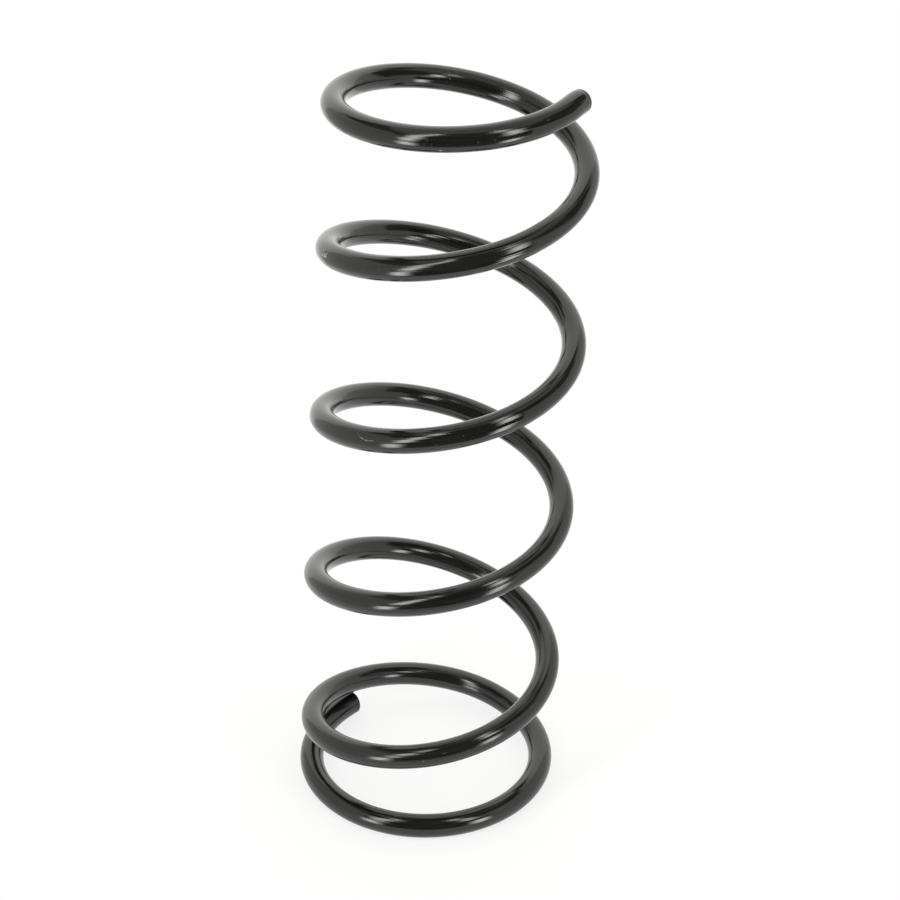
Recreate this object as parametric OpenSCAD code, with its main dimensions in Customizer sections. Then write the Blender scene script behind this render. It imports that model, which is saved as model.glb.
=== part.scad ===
// Suspension spring: one right-handed coil of round steel bar, coated black.
// It stands on the flat part of its lowest turn, at z = 0. The origin is the centre of that turn.
// Places along the bar are counted in turns, from 0 at the cut end at the foot.

/* [Bar] */
// Diameter of the coated bar
bar_d = 12.2; // [8:0.1:16]
// Radius of the rim around the cut face at the foot
foot_rim = 1.5; // [0.2:0.1:3]
// Radius of the rim around the cut face at the top
top_rim = 0.8; // [0.2:0.1:3]

/* [Coil] */
// Turns of the bar, from cut to cut
turns = 5.568; // [4:0.002:8]
// Mean diameter of the turns near the foot
foot_d = 120; // [90:0.5:160]
// Mean diameter of the turns above them
body_d = 122.5; // [90:0.5:160]
// Turn at which the coil starts to widen
widen_at = 1.8; // [1:0.05:3]
// Turns over which it widens
widen_turns = 0.2; // [0.1:0.05:1]
// Rise of the body for each turn
body_pitch = 91.7; // [50:0.1:120]
// Direction of the cut end at the foot, seen from above
foot_azimuth = 130.4; // [0:0.2:360]

/* [Foot] */
// Turns that lie flat on the seat
flat_turns = 0.612; // [0.5:0.002:0.7]
// Turns over which the bar starts to rise from the seat
lift_turns = 0.18; // [0.1:0.01:0.3]
// Clear gap between the cut end and the turn above it
foot_gap = 2.1; // [0.5:0.1:6]
// Turns that keep the gentle pitch that this gap needs
gentle_turns = 0.29; // [0.1:0.01:0.6]
// Turns over which the gentle pitch opens to the body's
open_turns = 0.35; // [0.1:0.01:0.8]

/* [Top] */
// Rise of the topmost turn, for each turn
top_pitch = 40; // [20:1:60]
// Turns of it
top_turns = 0.51; // [0.2:0.01:1]
// Turns over which the body's pitch closes to it
close_turns = 0.45; // [0.1:0.01:1]
// How far the tip is bent in towards the axis
tip_in = 2; // [0:0.1:5]
// Turns over which the tip bends in
tip_turns = 0.33; // [0.1:0.01:0.6]

/* [Lean] */
// Angle between the body's axis and the vertical
lean_angle = 4.6; // [0:0.1:6]
// Direction that the body leans in, from that of the cut end at the foot, seen from above
lean_from_cut = -79.4; // [-180:0.2:180]
// Turns over which the bar passes from the flat foot to the leaning body
lean_turns = 0.57; // [0.3:0.01:1]

/* [Hidden] */

bar_r = bar_d / 2;

// Facets around the bar, rings of them along it, and rings in each rounded rim
bar_sides = 20;
bar_rings = 266;
rim_rings = 3;

// Part of a turn, to either side of a point, over which the bar's direction is measured
small_step = 0.001;

lean_azimuth = foot_azimuth + lean_from_cut;

// Turns at which the pitch changes
lift_at = flat_turns;
open_at = lift_at + lift_turns + gentle_turns;
close_at = turns - top_turns - close_turns;

// After one turn the bar is back above its cut end. The lean brings it down by this much there,
// and the pitch that it has risen by since it left the seat makes up for that
lean_drop = foot_d / 2 * cos(lean_from_cut) * sin(lean_at(1));
gentle_pitch = (bar_d + foot_gap + lean_drop) / (1 - flat_turns - lift_turns / 2);

// Length of bar in a turn, near enough to place the rims' rings
foot_turn_length = PI * foot_d;
top_turn_length = norm([PI * body_d, top_pitch]);

coat_black = [0.10, 0.10, 0.10];

// From 0 to 1 with level ends, as u goes from 0 to 1
function ease(u) = u <= 0 ? 0 : u >= 1 ? 1 : u * u * (3 - 2 * u);

// Height gained at turn t by a pitch that grows from 0 to 1, starting at turn from and over length turns
function ramp_rise(t, from, length) =
    let (u = t - from)
    u <= 0 ? 0 : u < length ? u * u / (2 * length) : u - length / 2;

// Distance along the coil's axis from the flat foot
function rise(t) =
    gentle_pitch * ramp_rise(t, lift_at, lift_turns)
    + (body_pitch - gentle_pitch) * ramp_rise(t, open_at, open_turns)
    + (top_pitch - body_pitch) * ramp_rise(t, close_at, close_turns);

// How far into its bent tip the bar is
function tip_part(t) = max(0, t - turns + tip_turns) / tip_turns;

// Distance of the bar's centreline from the coil's axis
function coil_radius(t) =
    foot_d / 2
    + (body_d - foot_d) / 2 * ease((t - widen_at) / widen_turns)
    - tip_in * pow(tip_part(t), 2);

// Angle that the coil leans by at turn t
function lean_at(t) = lean_angle * ease((t - flat_turns) / lean_turns);

// Tilts a point away from the vertical, about the foot's centre, in the direction that the body leans in
function leaned(p, angle) =
    let (along = p.x * cos(lean_azimuth) + p.y * sin(lean_azimuth))
    let (moved = along * cos(angle) + p.z * sin(angle) - along)
    [
        p.x + moved * cos(lean_azimuth),
        p.y + moved * sin(lean_azimuth),
        p.z * cos(angle) - along * sin(angle)
    ];

// Centreline of the bar at turn t
function centre(t) =
    let (azimuth = foot_azimuth + 360 * t)
    let (r = coil_radius(t))
    let (upright = [r * cos(azimuth), r * sin(azimuth), rise(t)])
    leaned(upright, lean_at(t)) + [0, 0, bar_r];

// Direction of a vector
function unit(v) = v / norm(v);

// Direction of the bar at turn t
function heading(t) = unit(centre(t + small_step) - centre(t - small_step));

// Ring of points around the bar at turn t
function ring(t, r) =
    let (ahead = heading(t))
    let (across = unit(cross([0, 0, 1], ahead)))
    let (up = cross(ahead, across))
    [for (k = [0 : bar_sides - 1])
        centre(t) + r * (cos(360 * k / bar_sides) * across + sin(360 * k / bar_sides) * up)];

// Rings of a rounded rim, as distance from the cut face and radius, from the cut face inwards
function rim_profile(rim) =
    [for (k = [0 : rim_rings - 1])
        let (angle = 90 * k / rim_rings)
        [rim * (1 - cos(angle)), bar_r - rim * (1 - sin(angle))]];

// Every ring of the bar, as its turn and radius, from the foot to the top
function stations() =
    let (first = foot_rim / foot_turn_length)
    let (last = turns - top_rim / top_turn_length)
    let (top_profile = rim_profile(top_rim))
    [
        for (p = rim_profile(foot_rim)) [p[0] / foot_turn_length, p[1]],
        for (k = [0 : bar_rings]) [first + (last - first) * k / bar_rings, bar_r],
        for (k = [rim_rings - 1 : -1 : 0]) [turns - top_profile[k][0] / top_turn_length, top_profile[k][1]]
    ];

// Closed skin over rings of points, each with as many points as the others
module skin(rings) {
    sides = len(rings[0]);
    last = (len(rings) - 1) * sides;
    points = [for (r = rings) each r];
    walls = [
        for (i = [0 : len(rings) - 2], k = [0 : sides - 1])
            let (a = i * sides + k)
            let (b = i * sides + (k + 1) % sides)
            each [[a, b + sides, b], [a, a + sides, b + sides]]
    ];
    start_cap = [for (k = [0 : sides - 1]) k];
    end_cap = [for (k = [sides - 1 : -1 : 0]) last + k];
    polyhedron(points = points, faces = concat([start_cap], walls, [end_cap]), convexity = 12);
}

module spring() {
    color(coat_black)
        skin([for (s = stations()) ring(s[0], s[1])]);
}

spring();
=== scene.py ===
"""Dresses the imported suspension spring: one bar swept along its coil, coated black, in a white studio."""

import math

import bpy
import numpy as np
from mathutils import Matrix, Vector


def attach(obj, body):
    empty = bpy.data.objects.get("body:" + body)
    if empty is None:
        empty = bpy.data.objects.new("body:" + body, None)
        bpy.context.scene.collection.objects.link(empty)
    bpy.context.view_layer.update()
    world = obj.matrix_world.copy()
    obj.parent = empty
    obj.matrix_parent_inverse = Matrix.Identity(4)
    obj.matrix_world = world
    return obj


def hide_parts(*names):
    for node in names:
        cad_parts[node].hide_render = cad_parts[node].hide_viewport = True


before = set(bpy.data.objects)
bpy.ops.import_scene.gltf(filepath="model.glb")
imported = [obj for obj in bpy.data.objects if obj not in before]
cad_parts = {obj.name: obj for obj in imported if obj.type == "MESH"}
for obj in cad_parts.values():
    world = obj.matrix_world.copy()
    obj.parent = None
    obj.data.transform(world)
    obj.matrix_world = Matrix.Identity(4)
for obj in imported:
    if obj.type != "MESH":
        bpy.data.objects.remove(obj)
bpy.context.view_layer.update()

MM = 0.001

# The coil, with the part's own sizes. Places along the bar are in turns from the cut end at the foot
BAR_R = 6.1 * MM
FOOT_RIM = 1.5 * MM
TOP_RIM = 0.8 * MM
TURNS = 5.568
FOOT_R = 60 * MM
BODY_R = 61.25 * MM
WIDEN_AT = 1.8
WIDEN_TURNS = 0.2
BODY_PITCH = 91.7 * MM
FOOT_AZIMUTH = 130.4
FLAT_TURNS = 0.612
LIFT_TURNS = 0.18
FOOT_GAP = 2.1 * MM
GENTLE_TURNS = 0.29
OPEN_TURNS = 0.35
TOP_PITCH = 40 * MM
TOP_TURNS = 0.51
CLOSE_TURNS = 0.45
TIP_IN = 2 * MM
TIP_TURNS = 0.33
LEAN_ANGLE = 4.6
LEAN_FROM_CUT = -79.4
LEAN_TURNS = 0.57

# The shears that cut the bar have pushed its ends aside: the foot's up, the top's down and out
FOOT_PUSH_TURNS = 0.09
FOOT_PUSH_UP = 0.6 * MM
TOP_PUSH_TURNS = 0.022
TOP_PUSH_DOWN = 0.7 * MM
TOP_PUSH_OUT = 0.6 * MM

# The foot's cut is out of square: its upper edge stands this much further out than its middle
FOOT_SKEW = 0.5 * MM
FOOT_SKEW_TURNS = 0.03

# Behind its rim each end is slimmer than the bar by a step: level at first, and then growing to the bar
FOOT_STEP = 0.02 * MM
TOP_STEP = 0.12 * MM
STEP_LEVEL = 1.2 * MM
STEP_LENGTH = 1.3 * MM

# Facets round the bar, rings along it, and rings in each rounded rim, in each step and over each cut face
BAR_SIDES = 64
BAR_RINGS = 1400
RIM_RINGS = 8
STEP_RINGS = 10
FACE_RINGS = 4

# How many turns before and behind a point the bar's direction is taken from
SMALL_STEP = 0.001

# The coating: its darkest and palest tone, its gloss, and the fine streaks and broader waves along the bar
COAT_DARK = (0.0026, 0.0026, 0.0022, 1)
COAT_PALE = (0.0106, 0.0105, 0.01, 1)
COAT_IOR = 1.58
COAT_GLOSSY = 0.09
COAT_SATIN = 0.15
STREAK_LENGTH = 100 * MM
STREAK_WIDTH = 0.7 * MM
STREAK_DETAIL = 1
STREAK_DEPTH = 0.09 * MM
WAVE_LENGTH = 24 * MM
WAVE_WIDTH = 2 * MM
WAVE_DETAIL = 2
WAVE_DEPTH = 0.03 * MM

# The marks that the shears left on the cut faces, under the coating
CUT_MARK_LENGTH = 7 * MM
CUT_MARK_WIDTH = 0.9 * MM
CUT_MARK_DETAIL = 2
CUT_MARK_DEPTH = 0.6 * MM
CUT_ROUGHNESS = 0.3

# What the noises are brought to full contrast from: one noise, and the sum of two
NOISE_LOW = 0.35
NOISE_HIGH = 0.65
BOTH_LOW = 0.75
BOTH_HIGH = 1.25
NOISE_MIDDLE = 0.5

# Sockets of a Mix node for colours, whose names its other kinds have too
MIX_A = 6
MIX_B = 7
MIX_RESULT = 2

# Scuffs: their colour and roughness, the share of a stroke's width that is full, and how its edges wander
SCUFF_COLOUR = (0.34, 0.34, 0.32, 1)
SCUFF_ROUGHNESS = 0.5
SCUFF_CORE = 0.35
SCUFF_WANDER = 0.4 * MM
SCUFF_GRAIN = 0.7 * MM

# Each scuff is a stroke: its start and its end, as millimetres along the bar and degrees up from the bar's
# outermost line, and then its half width in millimetres and its strength
SCUFFS = [
    # A pale flake on the fifth turn, and chips round it
    (1629.4, 19, 1633, 13, 0.7, 0.9),
    (1632.6, 14, 1636.4, 17, 0.7, 0.9),
    (1635.8, 38, 1635.2, 14, 0.6, 0.8),
    (1631.6, 29, 1634.8, 21, 0.6, 0.7),
    (1632, 44, 1632.6, 42, 0.6, 0.4),
    (1630.6, 37, 1631.2, 34, 0.6, 0.35),
    (1635, -14, 1634.8, -25, 0.6, 0.35),
    (1629.4, -34, 1630.6, -35, 0.6, 0.3),
    # A mark across the bar on the inner side of the fifth turn
    (1912.2, 124, 1912.3, 146, 0.4, 0.15),
    (1911.4, 150, 1911.5, 159, 0.5, 0.2),
    # A curved hair scratch on the fourth turn
    (1268, 59, 1270.7, 33, 0.4, 0.1),
    (1270.5, 34, 1273.3, 25, 0.42, 0.42),
    (1273, 26, 1275.9, 22, 0.42, 0.42),
    (1275.6, 22, 1278.6, 27, 0.42, 0.38),
    # Faint smudges and a chip on the front of the top turn
    (2081.8, 12, 2081.8, -8, 0.6, 0.045),
    (2083.1, 23, 2083.2, 17, 0.6, 0.08),
    (2085, 8, 2084.9, -8, 0.6, 0.045),
    (2088.2, -28, 2088.9, -28, 0.7, 0.6),
    (2104.5, 14, 2104.4, 0, 0.6, 0.06),
    (2111.5, 14, 2111.5, 4, 0.6, 0.06),
    (2136.4, 41, 2138, 37, 0.5, 0.1),
    (2136.8, 16, 2136.6, 4, 0.5, 0.04),
    # Specks on the other turns
    (1547.6, 162, 1548, 162, 0.5, 0.15),
    (1664.1, 10, 1664.5, 10, 0.4, 0.1),
    (1672.4, 18, 1672.8, 18, 0.4, 0.1),
    (1320.1, 27, 1320.5, 27, 0.4, 0.12),
    (1307.7, 5, 1308.1, 5, 0.4, 0.12),
    (1370.5, 43, 1370.9, 43, 0.4, 0.12),
    (522.6, 7, 523, 7, 0.5, 0.3),
    (531.6, 32, 534.6, 34, 0.4, 0.12),
]

# The camera that took the photograph, fitted to the coil's outline
CAMERA_PLACE = Vector((12.7, -1377.2, 1067.37)) * MM
CAMERA_DOWN = 32.335
SENSOR = 36.0
FOCAL_PIXELS = 3286
PICTURE_PIXELS = 900

# The booth round the table and the dim room round the booth: where the walls stand, how far they reach, and
# how bright they look
COIL_MIDDLE = Vector((10, 12, 0)) * MM
WALL_FOOT = -200 * MM
BACK_Y = 480 * MM
BACK_TOP = 1500 * MM
LEFT_X = -450 * MM
LEFT_FRONT = -340 * MM
LEFT_TOP = 690 * MM
RIGHT_X = 420 * MM
RIGHT_FRONT = -290 * MM
RIGHT_FRONT_TOP = 600 * MM
RIGHT_BACK_TOP = 740 * MM
RIGHT_DIP_AT = 20 * MM
RIGHT_DIP_TOP = 400 * MM
LID_Z = 775 * MM
LID_CORNERS = [(-300, -150), (325, -150), (430, 250), (-215, 190), (-300, 12)]
BACK_GLOW = 1.24
SPOT_GLOW = 1.4
SPOT_PLACE = Vector((60, 480, 600)) * MM
SPOT_R = 500 * MM
LEFT_GLOW = 0.77
RIGHT_GLOW = 0.86
LID_GLOW = 0.7
ROOM_GLOW = 0.14
ROOM_REACH = 3000 * MM
STUDIO_WHITE = (1, 1, 0.967)

# The soft lamps in front of the table, brightest along their middle: azimuth from +Y, distance, half of the
# width that they fade over, lowest and highest point, and brightness
LAMPS = [
    ("left_low", -136.1, 650 * MM, 145 * MM, -115 * MM, 220 * MM, 8.5),
    ("left_gap", -136.4, 650 * MM, 145 * MM, 220 * MM, 392 * MM, 0.8),
    ("left_high", -137.2, 650 * MM, 135 * MM, 392 * MM, 660 * MM, 9.1),
    ("left_upper", -137.2, 650 * MM, 135 * MM, 660 * MM, 1000 * MM, 7.6),
    ("left_top", -137.4, 650 * MM, 145 * MM, 1000 * MM, 1850 * MM, 8),
    ("right_low", 137.5, 530 * MM, 118 * MM, -90 * MM, 204 * MM, 8.6),
    ("right_high", 138.6, 530 * MM, 118 * MM, 440 * MM, 780 * MM, 8),
    ("right_top", 139.5, 530 * MM, 150 * MM, 1000 * MM, 1600 * MM, 6.4),
]

# The table, and the share of the coil's shadow that shows on it and fades out away from its middle
TABLE_R = 400 * MM
TABLE_SIDES = 96
TABLE_DROP = 0.05 * MM
TABLE_WHITE = 0.8
TABLE_GLOW = 0.3
SHADOW_SHARE = 0.3
SHADOW_FULL_R = 90 * MM
SHADOW_R = 220 * MM


def ease(u):
    """From 0 to 1 with level ends, as u goes from 0 to 1."""
    u = np.clip(u, 0, 1)
    return u * u * (3 - 2 * u)


def ramp_rise(t, start, length):
    """Height gained at turn t by a pitch that grows from 0 to 1 over length turns."""
    u = np.maximum(t - start, 0)
    return np.where(u < length, u * u / (2 * length), u - length / 2)


def lean_at(t):
    """Angle that the coil leans by at turn t, in radians."""
    return math.radians(LEAN_ANGLE) * ease((t - FLAT_TURNS) / LEAN_TURNS)


def rise(t):
    """Distance along the coil's axis from the flat foot."""
    open_at = FLAT_TURNS + LIFT_TURNS + GENTLE_TURNS
    close_at = TURNS - TOP_TURNS - CLOSE_TURNS
    lean_drop = FOOT_R * math.cos(math.radians(LEAN_FROM_CUT)) * math.sin(lean_at(1))
    gentle_pitch = (2 * BAR_R + FOOT_GAP + lean_drop) / (1 - FLAT_TURNS - LIFT_TURNS / 2)
    return (
        gentle_pitch * ramp_rise(t, FLAT_TURNS, LIFT_TURNS)
        + (BODY_PITCH - gentle_pitch) * ramp_rise(t, open_at, OPEN_TURNS)
        + (TOP_PITCH - BODY_PITCH) * ramp_rise(t, close_at, CLOSE_TURNS)
    )


def near(from_end, turns):
    """From 1 at an end of the bar to 0 at a number of turns from it."""
    return np.maximum(0, 1 - from_end / turns) ** 2


def coil_radius(t):
    """Distance of the bar's centreline from the coil's axis."""
    tip_part = np.maximum(0, t - TURNS + TIP_TURNS) / TIP_TURNS
    bent = TOP_PUSH_OUT * near(TURNS - t, TOP_PUSH_TURNS) - TIP_IN * tip_part**2
    return FOOT_R + (BODY_R - FOOT_R) * ease((t - WIDEN_AT) / WIDEN_TURNS) + bent


def centre(t):
    """Points of the bar's centreline at the turns t."""
    azimuth = np.radians(FOOT_AZIMUTH + 360 * t)
    lean_azimuth = math.radians(FOOT_AZIMUTH + LEAN_FROM_CUT)
    angle = lean_at(t)
    x = coil_radius(t) * np.cos(azimuth)
    y = coil_radius(t) * np.sin(azimuth)
    along = x * math.cos(lean_azimuth) + y * math.sin(lean_azimuth)
    moved = along * np.cos(angle) + rise(t) * np.sin(angle) - along
    push = FOOT_PUSH_UP * near(t, FOOT_PUSH_TURNS) - TOP_PUSH_DOWN * near(TURNS - t, TOP_PUSH_TURNS)
    z = rise(t) * np.cos(angle) - along * np.sin(angle) + BAR_R + push
    return np.stack([x + moved * math.cos(lean_azimuth), y + moved * math.sin(lean_azimuth), z], axis=-1)


def unit(v):
    """Vectors brought to length 1."""
    return v / np.linalg.norm(v, axis=-1, keepdims=True)


def bar_frame(t):
    """Directions of the bar at the turns t: ahead along it, across towards the coil's axis, and up."""
    ahead = unit(centre(t + SMALL_STEP) - centre(t - SMALL_STEP))
    across = unit(np.cross([0, 0, 1], ahead))
    return ahead, across, np.cross(ahead, across)


def end_profile(rim, step):
    """Rings from a cut face's middle over rim and step: distance from the face, radius, tilt of normals."""
    end_r = BAR_R - step
    flat = [(0, (end_r - rim) * (k + 1) / (FACE_RINGS + 1), math.pi / 2) for k in range(FACE_RINGS)]
    tilts = [math.pi / 2 * (1 - k / RIM_RINGS) for k in range(RIM_RINGS + 1)]
    rounded = [(rim * (1 - math.sin(a)), end_r - rim * (1 - math.cos(a)), a) for a in tilts]
    growing = []
    for k in range(STEP_RINGS):
        u = k / STEP_RINGS
        slope = step / STEP_LENGTH * 6 * u * (1 - u)
        growing.append((rim + STEP_LEVEL + STEP_LENGTH * u, end_r + step * ease(u), math.atan(slope)))
    return flat + rounded + growing


def stations():
    """Every ring of the bar as its turn, radius and the tilt of its normals towards the top's end."""
    foot_turn = 2 * math.pi * FOOT_R
    top_turn = math.hypot(2 * math.pi * BODY_R, TOP_PITCH)
    first = (FOOT_RIM + STEP_LEVEL + STEP_LENGTH) / foot_turn
    last = TURNS - (TOP_RIM + STEP_LEVEL + STEP_LENGTH) / top_turn
    start = [(d / foot_turn, r, -a) for d, r, a in end_profile(FOOT_RIM, FOOT_STEP)]
    side = [(t, BAR_R, 0) for t in np.linspace(first, last, BAR_RINGS)]
    end = [(TURNS - d / top_turn, r, a) for d, r, a in reversed(end_profile(TOP_RIM, TOP_STEP))]
    return np.array(start + side + end).T


def bar_length(t):
    """Length of bar from the foot's cut end to each of the turns t, which grow from 0."""
    steps = np.linalg.norm(np.diff(centre(t), axis=0), axis=1)
    return np.concatenate([[0], np.cumsum(steps)])


def spring_piece():
    """The bar swept along its coil.

    Each point holds its place on the bar laid straight, and whether it is on a cut face.
    """
    t, radius, tilt = stations()
    ahead, across, up = (d[:, None] for d in bar_frame(t))
    turn = 2 * math.pi * np.arange(BAR_SIDES) / BAR_SIDES
    cos, sin = np.cos(turn)[None, :, None], np.sin(turn)[None, :, None]
    outward = cos * across + sin * up
    on_cut = np.repeat(np.isclose(np.abs(tilt), math.pi / 2), BAR_SIDES)
    radius, tilt = radius[:, None, None], tilt[:, None, None]
    skew = FOOT_SKEW / BAR_R * near(t, FOOT_SKEW_TURNS)[:, None, None]
    points = centre(t)[:, None] + radius * (outward - skew * sin * ahead)
    normals = np.cos(tilt) * outward + np.sin(tilt) * ahead
    length = np.broadcast_to(bar_length(t)[:, None, None], points[..., :1].shape)
    places = np.concatenate([length, radius * cos, radius * sin], axis=-1)

    ends = centre(np.array([0, TURNS]))
    end_ahead = bar_frame(np.array([0, TURNS]))[0]
    points = np.concatenate([points.reshape(-1, 3), ends])
    normals = np.concatenate([normals.reshape(-1, 3), end_ahead * [[-1], [1]]])
    places = np.concatenate([places.reshape(-1, 3), [[0, 0, 0], [length.max(), 0, 0]]])
    on_cut = np.concatenate([on_cut, [True, True]])

    rings = len(t)
    a = np.arange(rings - 1)[:, None] * BAR_SIDES + np.arange(BAR_SIDES)
    b = np.arange(rings - 1)[:, None] * BAR_SIDES + np.roll(np.arange(BAR_SIDES), -1)
    walls = np.stack([a, b, b + BAR_SIDES, a + BAR_SIDES], axis=-1).reshape(-1, 4).tolist()
    foot_middle, top_middle = rings * BAR_SIDES, rings * BAR_SIDES + 1
    foot_fan = [(foot_middle, q, p) for p, q in zip(a[0].tolist(), b[0].tolist())]
    top_fan = [(top_middle, p + BAR_SIDES, q + BAR_SIDES) for p, q in zip(a[-1].tolist(), b[-1].tolist())]

    mesh = bpy.data.meshes.new("coated_spring")
    mesh.from_pydata(points.tolist(), [], walls + foot_fan + top_fan)
    mesh.attributes.new("bar_place", "FLOAT_VECTOR", "POINT").data.foreach_set("vector", places.ravel())
    mesh.attributes.new("on_cut", "FLOAT", "POINT").data.foreach_set("value", on_cut.astype(float))
    mesh.shade_smooth()
    mesh.normals_split_custom_set_from_vertices(normals.tolist())
    piece = bpy.data.objects.new("coated_spring", mesh)
    bpy.context.scene.collection.objects.link(piece)
    return piece


def noise_on_bar(nodes, links, place, sizes, detail):
    """Noise with lumps of the given sizes along the bar, across it and up."""
    scaled = nodes.new("ShaderNodeVectorMath")
    scaled.operation = "MULTIPLY"
    scaled.inputs[1].default_value = [1 / size for size in sizes]
    noise = nodes.new("ShaderNodeTexNoise")
    noise.inputs["Scale"].default_value = 1
    noise.inputs["Detail"].default_value = detail
    links.new(place, scaled.inputs[0])
    links.new(scaled.outputs["Vector"], noise.inputs["Vector"])
    return noise.outputs["Fac"]


def unrolled(nodes, links, place):
    """Place on the bar's surface laid flat: length along it, and way up round it from the outermost line."""
    parts = nodes.new("ShaderNodeSeparateXYZ")
    outward = nodes.new("ShaderNodeMath")
    outward.operation = "MULTIPLY"
    outward.inputs[1].default_value = -1
    around = nodes.new("ShaderNodeMath")
    around.operation = "ARCTAN2"
    arc = nodes.new("ShaderNodeMath")
    arc.operation = "MULTIPLY"
    arc.inputs[1].default_value = BAR_R
    flat = nodes.new("ShaderNodeCombineXYZ")
    links.new(place, parts.inputs[0])
    links.new(parts.outputs["Y"], outward.inputs[0])
    links.new(parts.outputs["Z"], around.inputs[0])
    links.new(outward.outputs[0], around.inputs[1])
    links.new(around.outputs[0], arc.inputs[0])
    links.new(parts.outputs["X"], flat.inputs["X"])
    links.new(arc.outputs[0], flat.inputs["Y"])
    return flat.outputs[0]


def wandering(nodes, links, flat):
    """The same place moved a little by noise, so that what is drawn with it gets uneven edges."""
    noise = nodes.new("ShaderNodeTexNoise")
    noise.inputs["Scale"].default_value = 1 / SCUFF_GRAIN
    centred = nodes.new("ShaderNodeVectorMath")
    centred.operation = "SUBTRACT"
    centred.inputs[1].default_value = (NOISE_MIDDLE, NOISE_MIDDLE, NOISE_MIDDLE)
    moved = nodes.new("ShaderNodeVectorMath")
    moved.operation = "MULTIPLY_ADD"
    moved.inputs[1].default_value = (SCUFF_WANDER, SCUFF_WANDER, 0)
    links.new(flat, noise.inputs["Vector"])
    links.new(noise.outputs["Color"], centred.inputs[0])
    links.new(centred.outputs[0], moved.inputs[0])
    links.new(flat, moved.inputs[2])
    return moved.outputs[0]


def scuff_mask(nodes, links, flat):
    """How strongly the coating is scuffed."""
    total = None
    for start_length, start_up, end_length, end_up, half_width, strength in SCUFFS:
        start = Vector((start_length * MM, math.radians(start_up) * BAR_R, 0))
        end = Vector((end_length * MM, math.radians(end_up) * BAR_R, 0))
        stroke = end - start
        local = nodes.new("ShaderNodeMapping")
        local.vector_type = "TEXTURE"
        local.inputs["Location"].default_value = (start + end) / 2
        local.inputs["Rotation"].default_value = (0, 0, math.atan2(stroke.y, stroke.x))
        local.inputs["Scale"].default_value = (stroke.length / 2 + half_width * MM, half_width * MM, 1)
        away = nodes.new("ShaderNodeVectorMath")
        away.operation = "LENGTH"
        mask = nodes.new("ShaderNodeMapRange")
        mask.interpolation_type = "SMOOTHSTEP"
        mask.inputs["From Min"].default_value = SCUFF_CORE
        mask.inputs["To Min"].default_value = strength
        mask.inputs["To Max"].default_value = 0
        links.new(flat, local.inputs["Vector"])
        links.new(local.outputs["Vector"], away.inputs[0])
        links.new(away.outputs["Value"], mask.inputs["Value"])
        if total is None:
            total = mask.outputs["Result"]
        else:
            either = nodes.new("ShaderNodeMath")
            either.operation = "MAXIMUM"
            links.new(total, either.inputs[0])
            links.new(mask.outputs["Result"], either.inputs[1])
            total = either.outputs[0]
    return total


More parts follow.
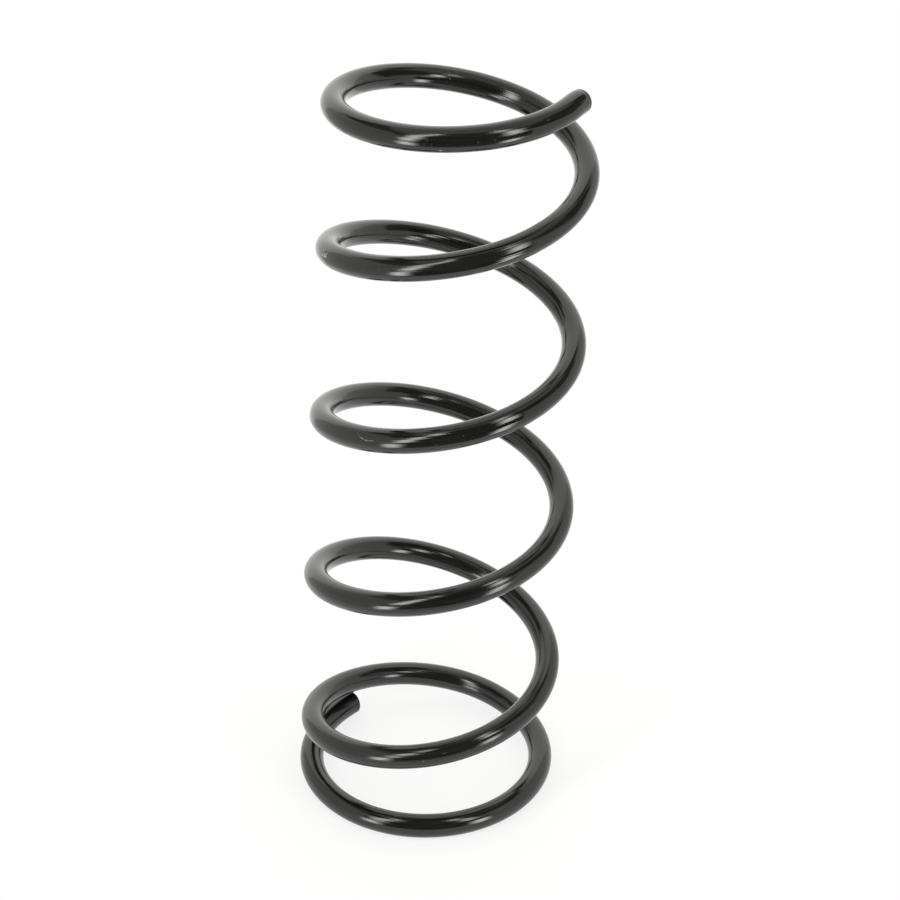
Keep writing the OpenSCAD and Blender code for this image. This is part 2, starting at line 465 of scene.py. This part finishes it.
def black_coating():
    """Gloss black coating: streaked along the bar, slightly wavy, scuffed, and uneven on the cut faces."""
    material = bpy.data.materials.new("black_coating")
    material.use_nodes = True
    nodes, links = material.node_tree.nodes, material.node_tree.links
    shader = nodes["Principled BSDF"]
    shader.inputs["IOR"].default_value = COAT_IOR
    attribute = nodes.new("ShaderNodeAttribute")
    attribute.attribute_name = "bar_place"
    place = attribute.outputs["Vector"]
    streaks = noise_on_bar(nodes, links, place, (STREAK_LENGTH, STREAK_WIDTH, STREAK_WIDTH), STREAK_DETAIL)
    waves = noise_on_bar(nodes, links, place, (WAVE_LENGTH, WAVE_WIDTH, WAVE_WIDTH), WAVE_DETAIL)
    cut_marks = noise_on_bar(
        nodes, links, place, (CUT_MARK_LENGTH, CUT_MARK_WIDTH, CUT_MARK_LENGTH), CUT_MARK_DETAIL
    )
    on_cut = nodes.new("ShaderNodeAttribute")
    on_cut.attribute_name = "on_cut"
    scuffs = scuff_mask(nodes, links, wandering(nodes, links, unrolled(nodes, links, place)))

    gloss = nodes.new("ShaderNodeMapRange")
    gloss.inputs["From Min"].default_value = NOISE_LOW
    gloss.inputs["From Max"].default_value = NOISE_HIGH
    gloss.inputs["To Min"].default_value = COAT_GLOSSY
    gloss.inputs["To Max"].default_value = COAT_SATIN
    links.new(streaks, gloss.inputs["Value"])
    coated = nodes.new("ShaderNodeMix")
    coated.inputs["B"].default_value = CUT_ROUGHNESS
    links.new(on_cut.outputs["Fac"], coated.inputs["Factor"])
    links.new(gloss.outputs["Result"], coated.inputs["A"])
    roughness = nodes.new("ShaderNodeMix")
    roughness.inputs["B"].default_value = SCUFF_ROUGHNESS
    links.new(scuffs, roughness.inputs["Factor"])
    links.new(coated.outputs["Result"], roughness.inputs["A"])
    links.new(roughness.outputs["Result"], shader.inputs["Roughness"])

    both = nodes.new("ShaderNodeMath")
    both.operation = "ADD"
    links.new(streaks, both.inputs[0])
    links.new(waves, both.inputs[1])
    tone = nodes.new("ShaderNodeMapRange")
    tone.inputs["From Min"].default_value = BOTH_LOW
    tone.inputs["From Max"].default_value = BOTH_HIGH
    links.new(both.outputs[0], tone.inputs["Value"])
    black = nodes.new("ShaderNodeMix")
    black.data_type = "RGBA"
    black.inputs[MIX_A].default_value = COAT_DARK
    black.inputs[MIX_B].default_value = COAT_PALE
    links.new(tone.outputs["Result"], black.inputs["Factor"])
    colour = nodes.new("ShaderNodeMix")
    colour.data_type = "RGBA"
    colour.inputs[MIX_B].default_value = SCUFF_COLOUR
    links.new(scuffs, colour.inputs["Factor"])
    links.new(black.outputs[MIX_RESULT], colour.inputs[MIX_A])
    links.new(colour.outputs[MIX_RESULT], shader.inputs["Base Color"])

    normal = None
    for height, depth in ((waves, WAVE_DEPTH), (streaks, STREAK_DEPTH)):
        bump = nodes.new("ShaderNodeBump")
        bump.inputs["Distance"].default_value = depth
        links.new(height, bump.inputs["Height"])
        if normal is not None:
            links.new(normal, bump.inputs["Normal"])
        normal = bump.outputs["Normal"]
    cut_bump = nodes.new("ShaderNodeBump")
    cut_bump.inputs["Distance"].default_value = CUT_MARK_DEPTH
    links.new(on_cut.outputs["Fac"], cut_bump.inputs["Strength"])
    links.new(cut_marks, cut_bump.inputs["Height"])
    links.new(normal, cut_bump.inputs["Normal"])
    links.new(cut_bump.outputs["Normal"], shader.inputs["Normal"])
    return material


def add_camera():
    """The photograph's camera: level, looking along +Y and down."""
    data = bpy.data.cameras.new("camera")
    data.sensor_width = SENSOR
    data.lens = FOCAL_PIXELS / PICTURE_PIXELS * SENSOR
    camera = bpy.data.objects.new("camera", data)
    camera.location = CAMERA_PLACE
    camera.rotation_euler = (math.radians(90 - CAMERA_DOWN), 0, 0)
    bpy.context.scene.collection.objects.link(camera)
    bpy.context.scene.camera = camera


def glowing(name, strength):
    """A surface of the studio that shines by itself."""
    material = bpy.data.materials.new(name)
    material.use_nodes = True
    nodes, links = material.node_tree.nodes, material.node_tree.links
    nodes.clear()
    glow = nodes.new("ShaderNodeEmission")
    glow.inputs["Color"].default_value = (*STUDIO_WHITE, 1)
    glow.inputs["Strength"].default_value = strength
    output = nodes.new("ShaderNodeOutputMaterial")
    links.new(glow.outputs["Emission"], output.inputs["Surface"])
    return material


def stage_piece(name, corners, material, faces=None):
    """A piece of the studio, which the camera doesn't see: flat, unless its faces are given."""
    mesh = bpy.data.meshes.new(name)
    mesh.from_pydata(corners, [], faces or [tuple(range(len(corners)))])
    mesh.materials.append(material)
    piece = bpy.data.objects.new(name, mesh)
    piece.visible_camera = False
    bpy.context.scene.collection.objects.link(piece)
    return piece


def back_glow():
    """The back wall's glow, brighter round one spot."""
    material = glowing("back_glow", BACK_GLOW)
    nodes, links = material.node_tree.nodes, material.node_tree.links
    place = nodes.new("ShaderNodeNewGeometry")
    away = nodes.new("ShaderNodeVectorMath")
    away.operation = "DISTANCE"
    away.inputs[1].default_value = SPOT_PLACE
    strength = nodes.new("ShaderNodeMapRange")
    strength.interpolation_type = "SMOOTHSTEP"
    strength.inputs["From Max"].default_value = SPOT_R
    strength.inputs["To Min"].default_value = SPOT_GLOW
    strength.inputs["To Max"].default_value = BACK_GLOW
    links.new(place.outputs["Position"], away.inputs[0])
    links.new(away.outputs["Value"], strength.inputs["Value"])
    links.new(strength.outputs["Result"], nodes["Emission"].inputs["Strength"])
    return material


def upright(start, end, top):
    """Corners of an upright wall between two places on the floor."""
    return [(*start, WALL_FOOT), (*end, WALL_FOOT), (*end, top), (*start, top)]


def add_booth():
    """Pale walls round the table: one behind it, two at its sides and a lid, with dark gaps between."""
    stage_piece("back_wall", upright((LEFT_X, BACK_Y), (RIGHT_X, BACK_Y), BACK_TOP), back_glow())
    plain = upright((LEFT_X, LEFT_FRONT), (LEFT_X, BACK_Y), LEFT_TOP)
    stage_piece("left_wall", plain, glowing("left_glow", LEFT_GLOW))
    dipping = [
        (RIGHT_X, RIGHT_FRONT, WALL_FOOT),
        (RIGHT_X, BACK_Y, WALL_FOOT),
        (RIGHT_X, BACK_Y, RIGHT_BACK_TOP),
        (RIGHT_X, RIGHT_DIP_AT, RIGHT_DIP_TOP),
        (RIGHT_X, RIGHT_FRONT, RIGHT_FRONT_TOP),
    ]
    stage_piece("right_wall", dipping, glowing("right_glow", RIGHT_GLOW))
    stage_piece("lid", [(x * MM, y * MM, LID_Z) for x, y in LID_CORNERS], glowing("lid_glow", LID_GLOW))


def lamp_glow(name, half_width, glow):
    """A lamp's glow, which fades from the middle of its width towards both sides."""
    material = glowing(name, glow)
    nodes, links = material.node_tree.nodes, material.node_tree.links
    place = nodes.new("ShaderNodeTexCoord")
    parts = nodes.new("ShaderNodeSeparateXYZ")
    aside = nodes.new("ShaderNodeMath")
    aside.operation = "ABSOLUTE"
    strength = nodes.new("ShaderNodeMapRange")
    strength.interpolation_type = "SMOOTHSTEP"
    strength.inputs["From Max"].default_value = half_width
    strength.inputs["To Min"].default_value = glow
    strength.inputs["To Max"].default_value = 0
    links.new(place.outputs["Object"], parts.inputs[0])
    links.new(parts.outputs["X"], aside.inputs[0])
    links.new(aside.outputs[0], strength.inputs["Value"])
    links.new(strength.outputs["Result"], nodes["Emission"].inputs["Strength"])
    return material


def add_lamp(name, azimuth, distance, half_width, low, high, glow):
    """A soft lamp that stands upright in front of the table and faces the coil's middle."""
    corners = [(-half_width, 0, low), (half_width, 0, low), (half_width, 0, high), (-half_width, 0, high)]
    lamp = stage_piece(name, corners, lamp_glow(name, half_width, glow))
    side = math.radians(azimuth)
    lamp.location = COIL_MIDDLE + Vector((distance * math.sin(side), distance * math.cos(side), 0))
    lamp.rotation_euler = (0, 0, -side)


def rays_that_show_white(nodes, links):
    """1 for the rays that see plain white: the camera's, and those that were mirrored or let through."""
    path = nodes.new("ShaderNodeLightPath")
    total = path.outputs["Is Camera Ray"]
    for kind in ("Is Glossy Ray", "Is Transmission Ray"):
        either = nodes.new("ShaderNodeMath")
        either.operation = "MAXIMUM"
        links.new(total, either.inputs[0])
        links.new(path.outputs[kind], either.inputs[1])
        total = either.outputs[0]
    return total


def white_table():
    """A white table that glows a little. It shows as plain white, with a faint shadow round the coil."""
    material = bpy.data.materials.new("white_table")
    material.use_nodes = True
    nodes, links = material.node_tree.nodes, material.node_tree.links
    nodes.clear()
    plain = nodes.new("ShaderNodeBsdfDiffuse")
    plain.inputs["Color"].default_value = (TABLE_WHITE, TABLE_WHITE, TABLE_WHITE, 1)
    glow = nodes.new("ShaderNodeEmission")
    glow.inputs["Strength"].default_value = TABLE_GLOW
    table = nodes.new("ShaderNodeAddShader")
    white = nodes.new("ShaderNodeEmission")
    place = nodes.new("ShaderNodeNewGeometry")
    away = nodes.new("ShaderNodeVectorMath")
    away.operation = "LENGTH"
    share = nodes.new("ShaderNodeMapRange")
    share.interpolation_type = "SMOOTHSTEP"
    share.inputs["From Min"].default_value = SHADOW_FULL_R
    share.inputs["From Max"].default_value = SHADOW_R
    share.inputs["To Min"].default_value = 1 - SHADOW_SHARE
    seen = nodes.new("ShaderNodeMath")
    seen.operation = "MULTIPLY"
    mix = nodes.new("ShaderNodeMixShader")
    output = nodes.new("ShaderNodeOutputMaterial")
    links.new(plain.outputs["BSDF"], table.inputs[0])
    links.new(glow.outputs["Emission"], table.inputs[1])
    links.new(place.outputs["Position"], away.inputs[0])
    links.new(away.outputs["Value"], share.inputs["Value"])
    links.new(rays_that_show_white(nodes, links), seen.inputs[0])
    links.new(share.outputs["Result"], seen.inputs[1])
    links.new(seen.outputs[0], mix.inputs["Fac"])
    links.new(table.outputs["Shader"], mix.inputs[1])
    links.new(white.outputs["Emission"], mix.inputs[2])
    links.new(mix.outputs["Shader"], output.inputs["Surface"])
    return material


def add_table():
    """The round white table that the coil stands on."""
    turn = [2 * math.pi * k / TABLE_SIDES for k in range(TABLE_SIDES)]
    rim = [(TABLE_R * math.cos(a), TABLE_R * math.sin(a), -TABLE_DROP) for a in turn]
    table = stage_piece("table", rim, white_table())
    table.visible_camera = True


def add_backdrop():
    """A plain white backdrop, and before it the dim room that the coil mirrors and the camera doesn't see."""
    world = bpy.data.worlds.new("backdrop")
    world.use_nodes = True
    world.node_tree.nodes["Background"].inputs["Color"].default_value = (1, 1, 1, 1)
    bpy.context.scene.world = world
    sides = (-ROOM_REACH, ROOM_REACH)
    corners = [(x, y, z) for x in sides for y in sides for z in sides]
    walls = [(0, 1, 3, 2), (4, 5, 7, 6), (0, 1, 5, 4), (2, 3, 7, 6), (0, 2, 6, 4), (1, 3, 7, 5)]
    stage_piece("room", corners, glowing("room_glow", ROOM_GLOW), walls)


spring = spring_piece()
spring.data.materials.append(black_coating())
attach(spring, "root")
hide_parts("spring")

add_camera()
add_booth()
for lamp in LAMPS:
    add_lamp(*lamp)
add_table()
add_backdrop()
bpy.context.scene.view_settings.view_transform = "Standard"
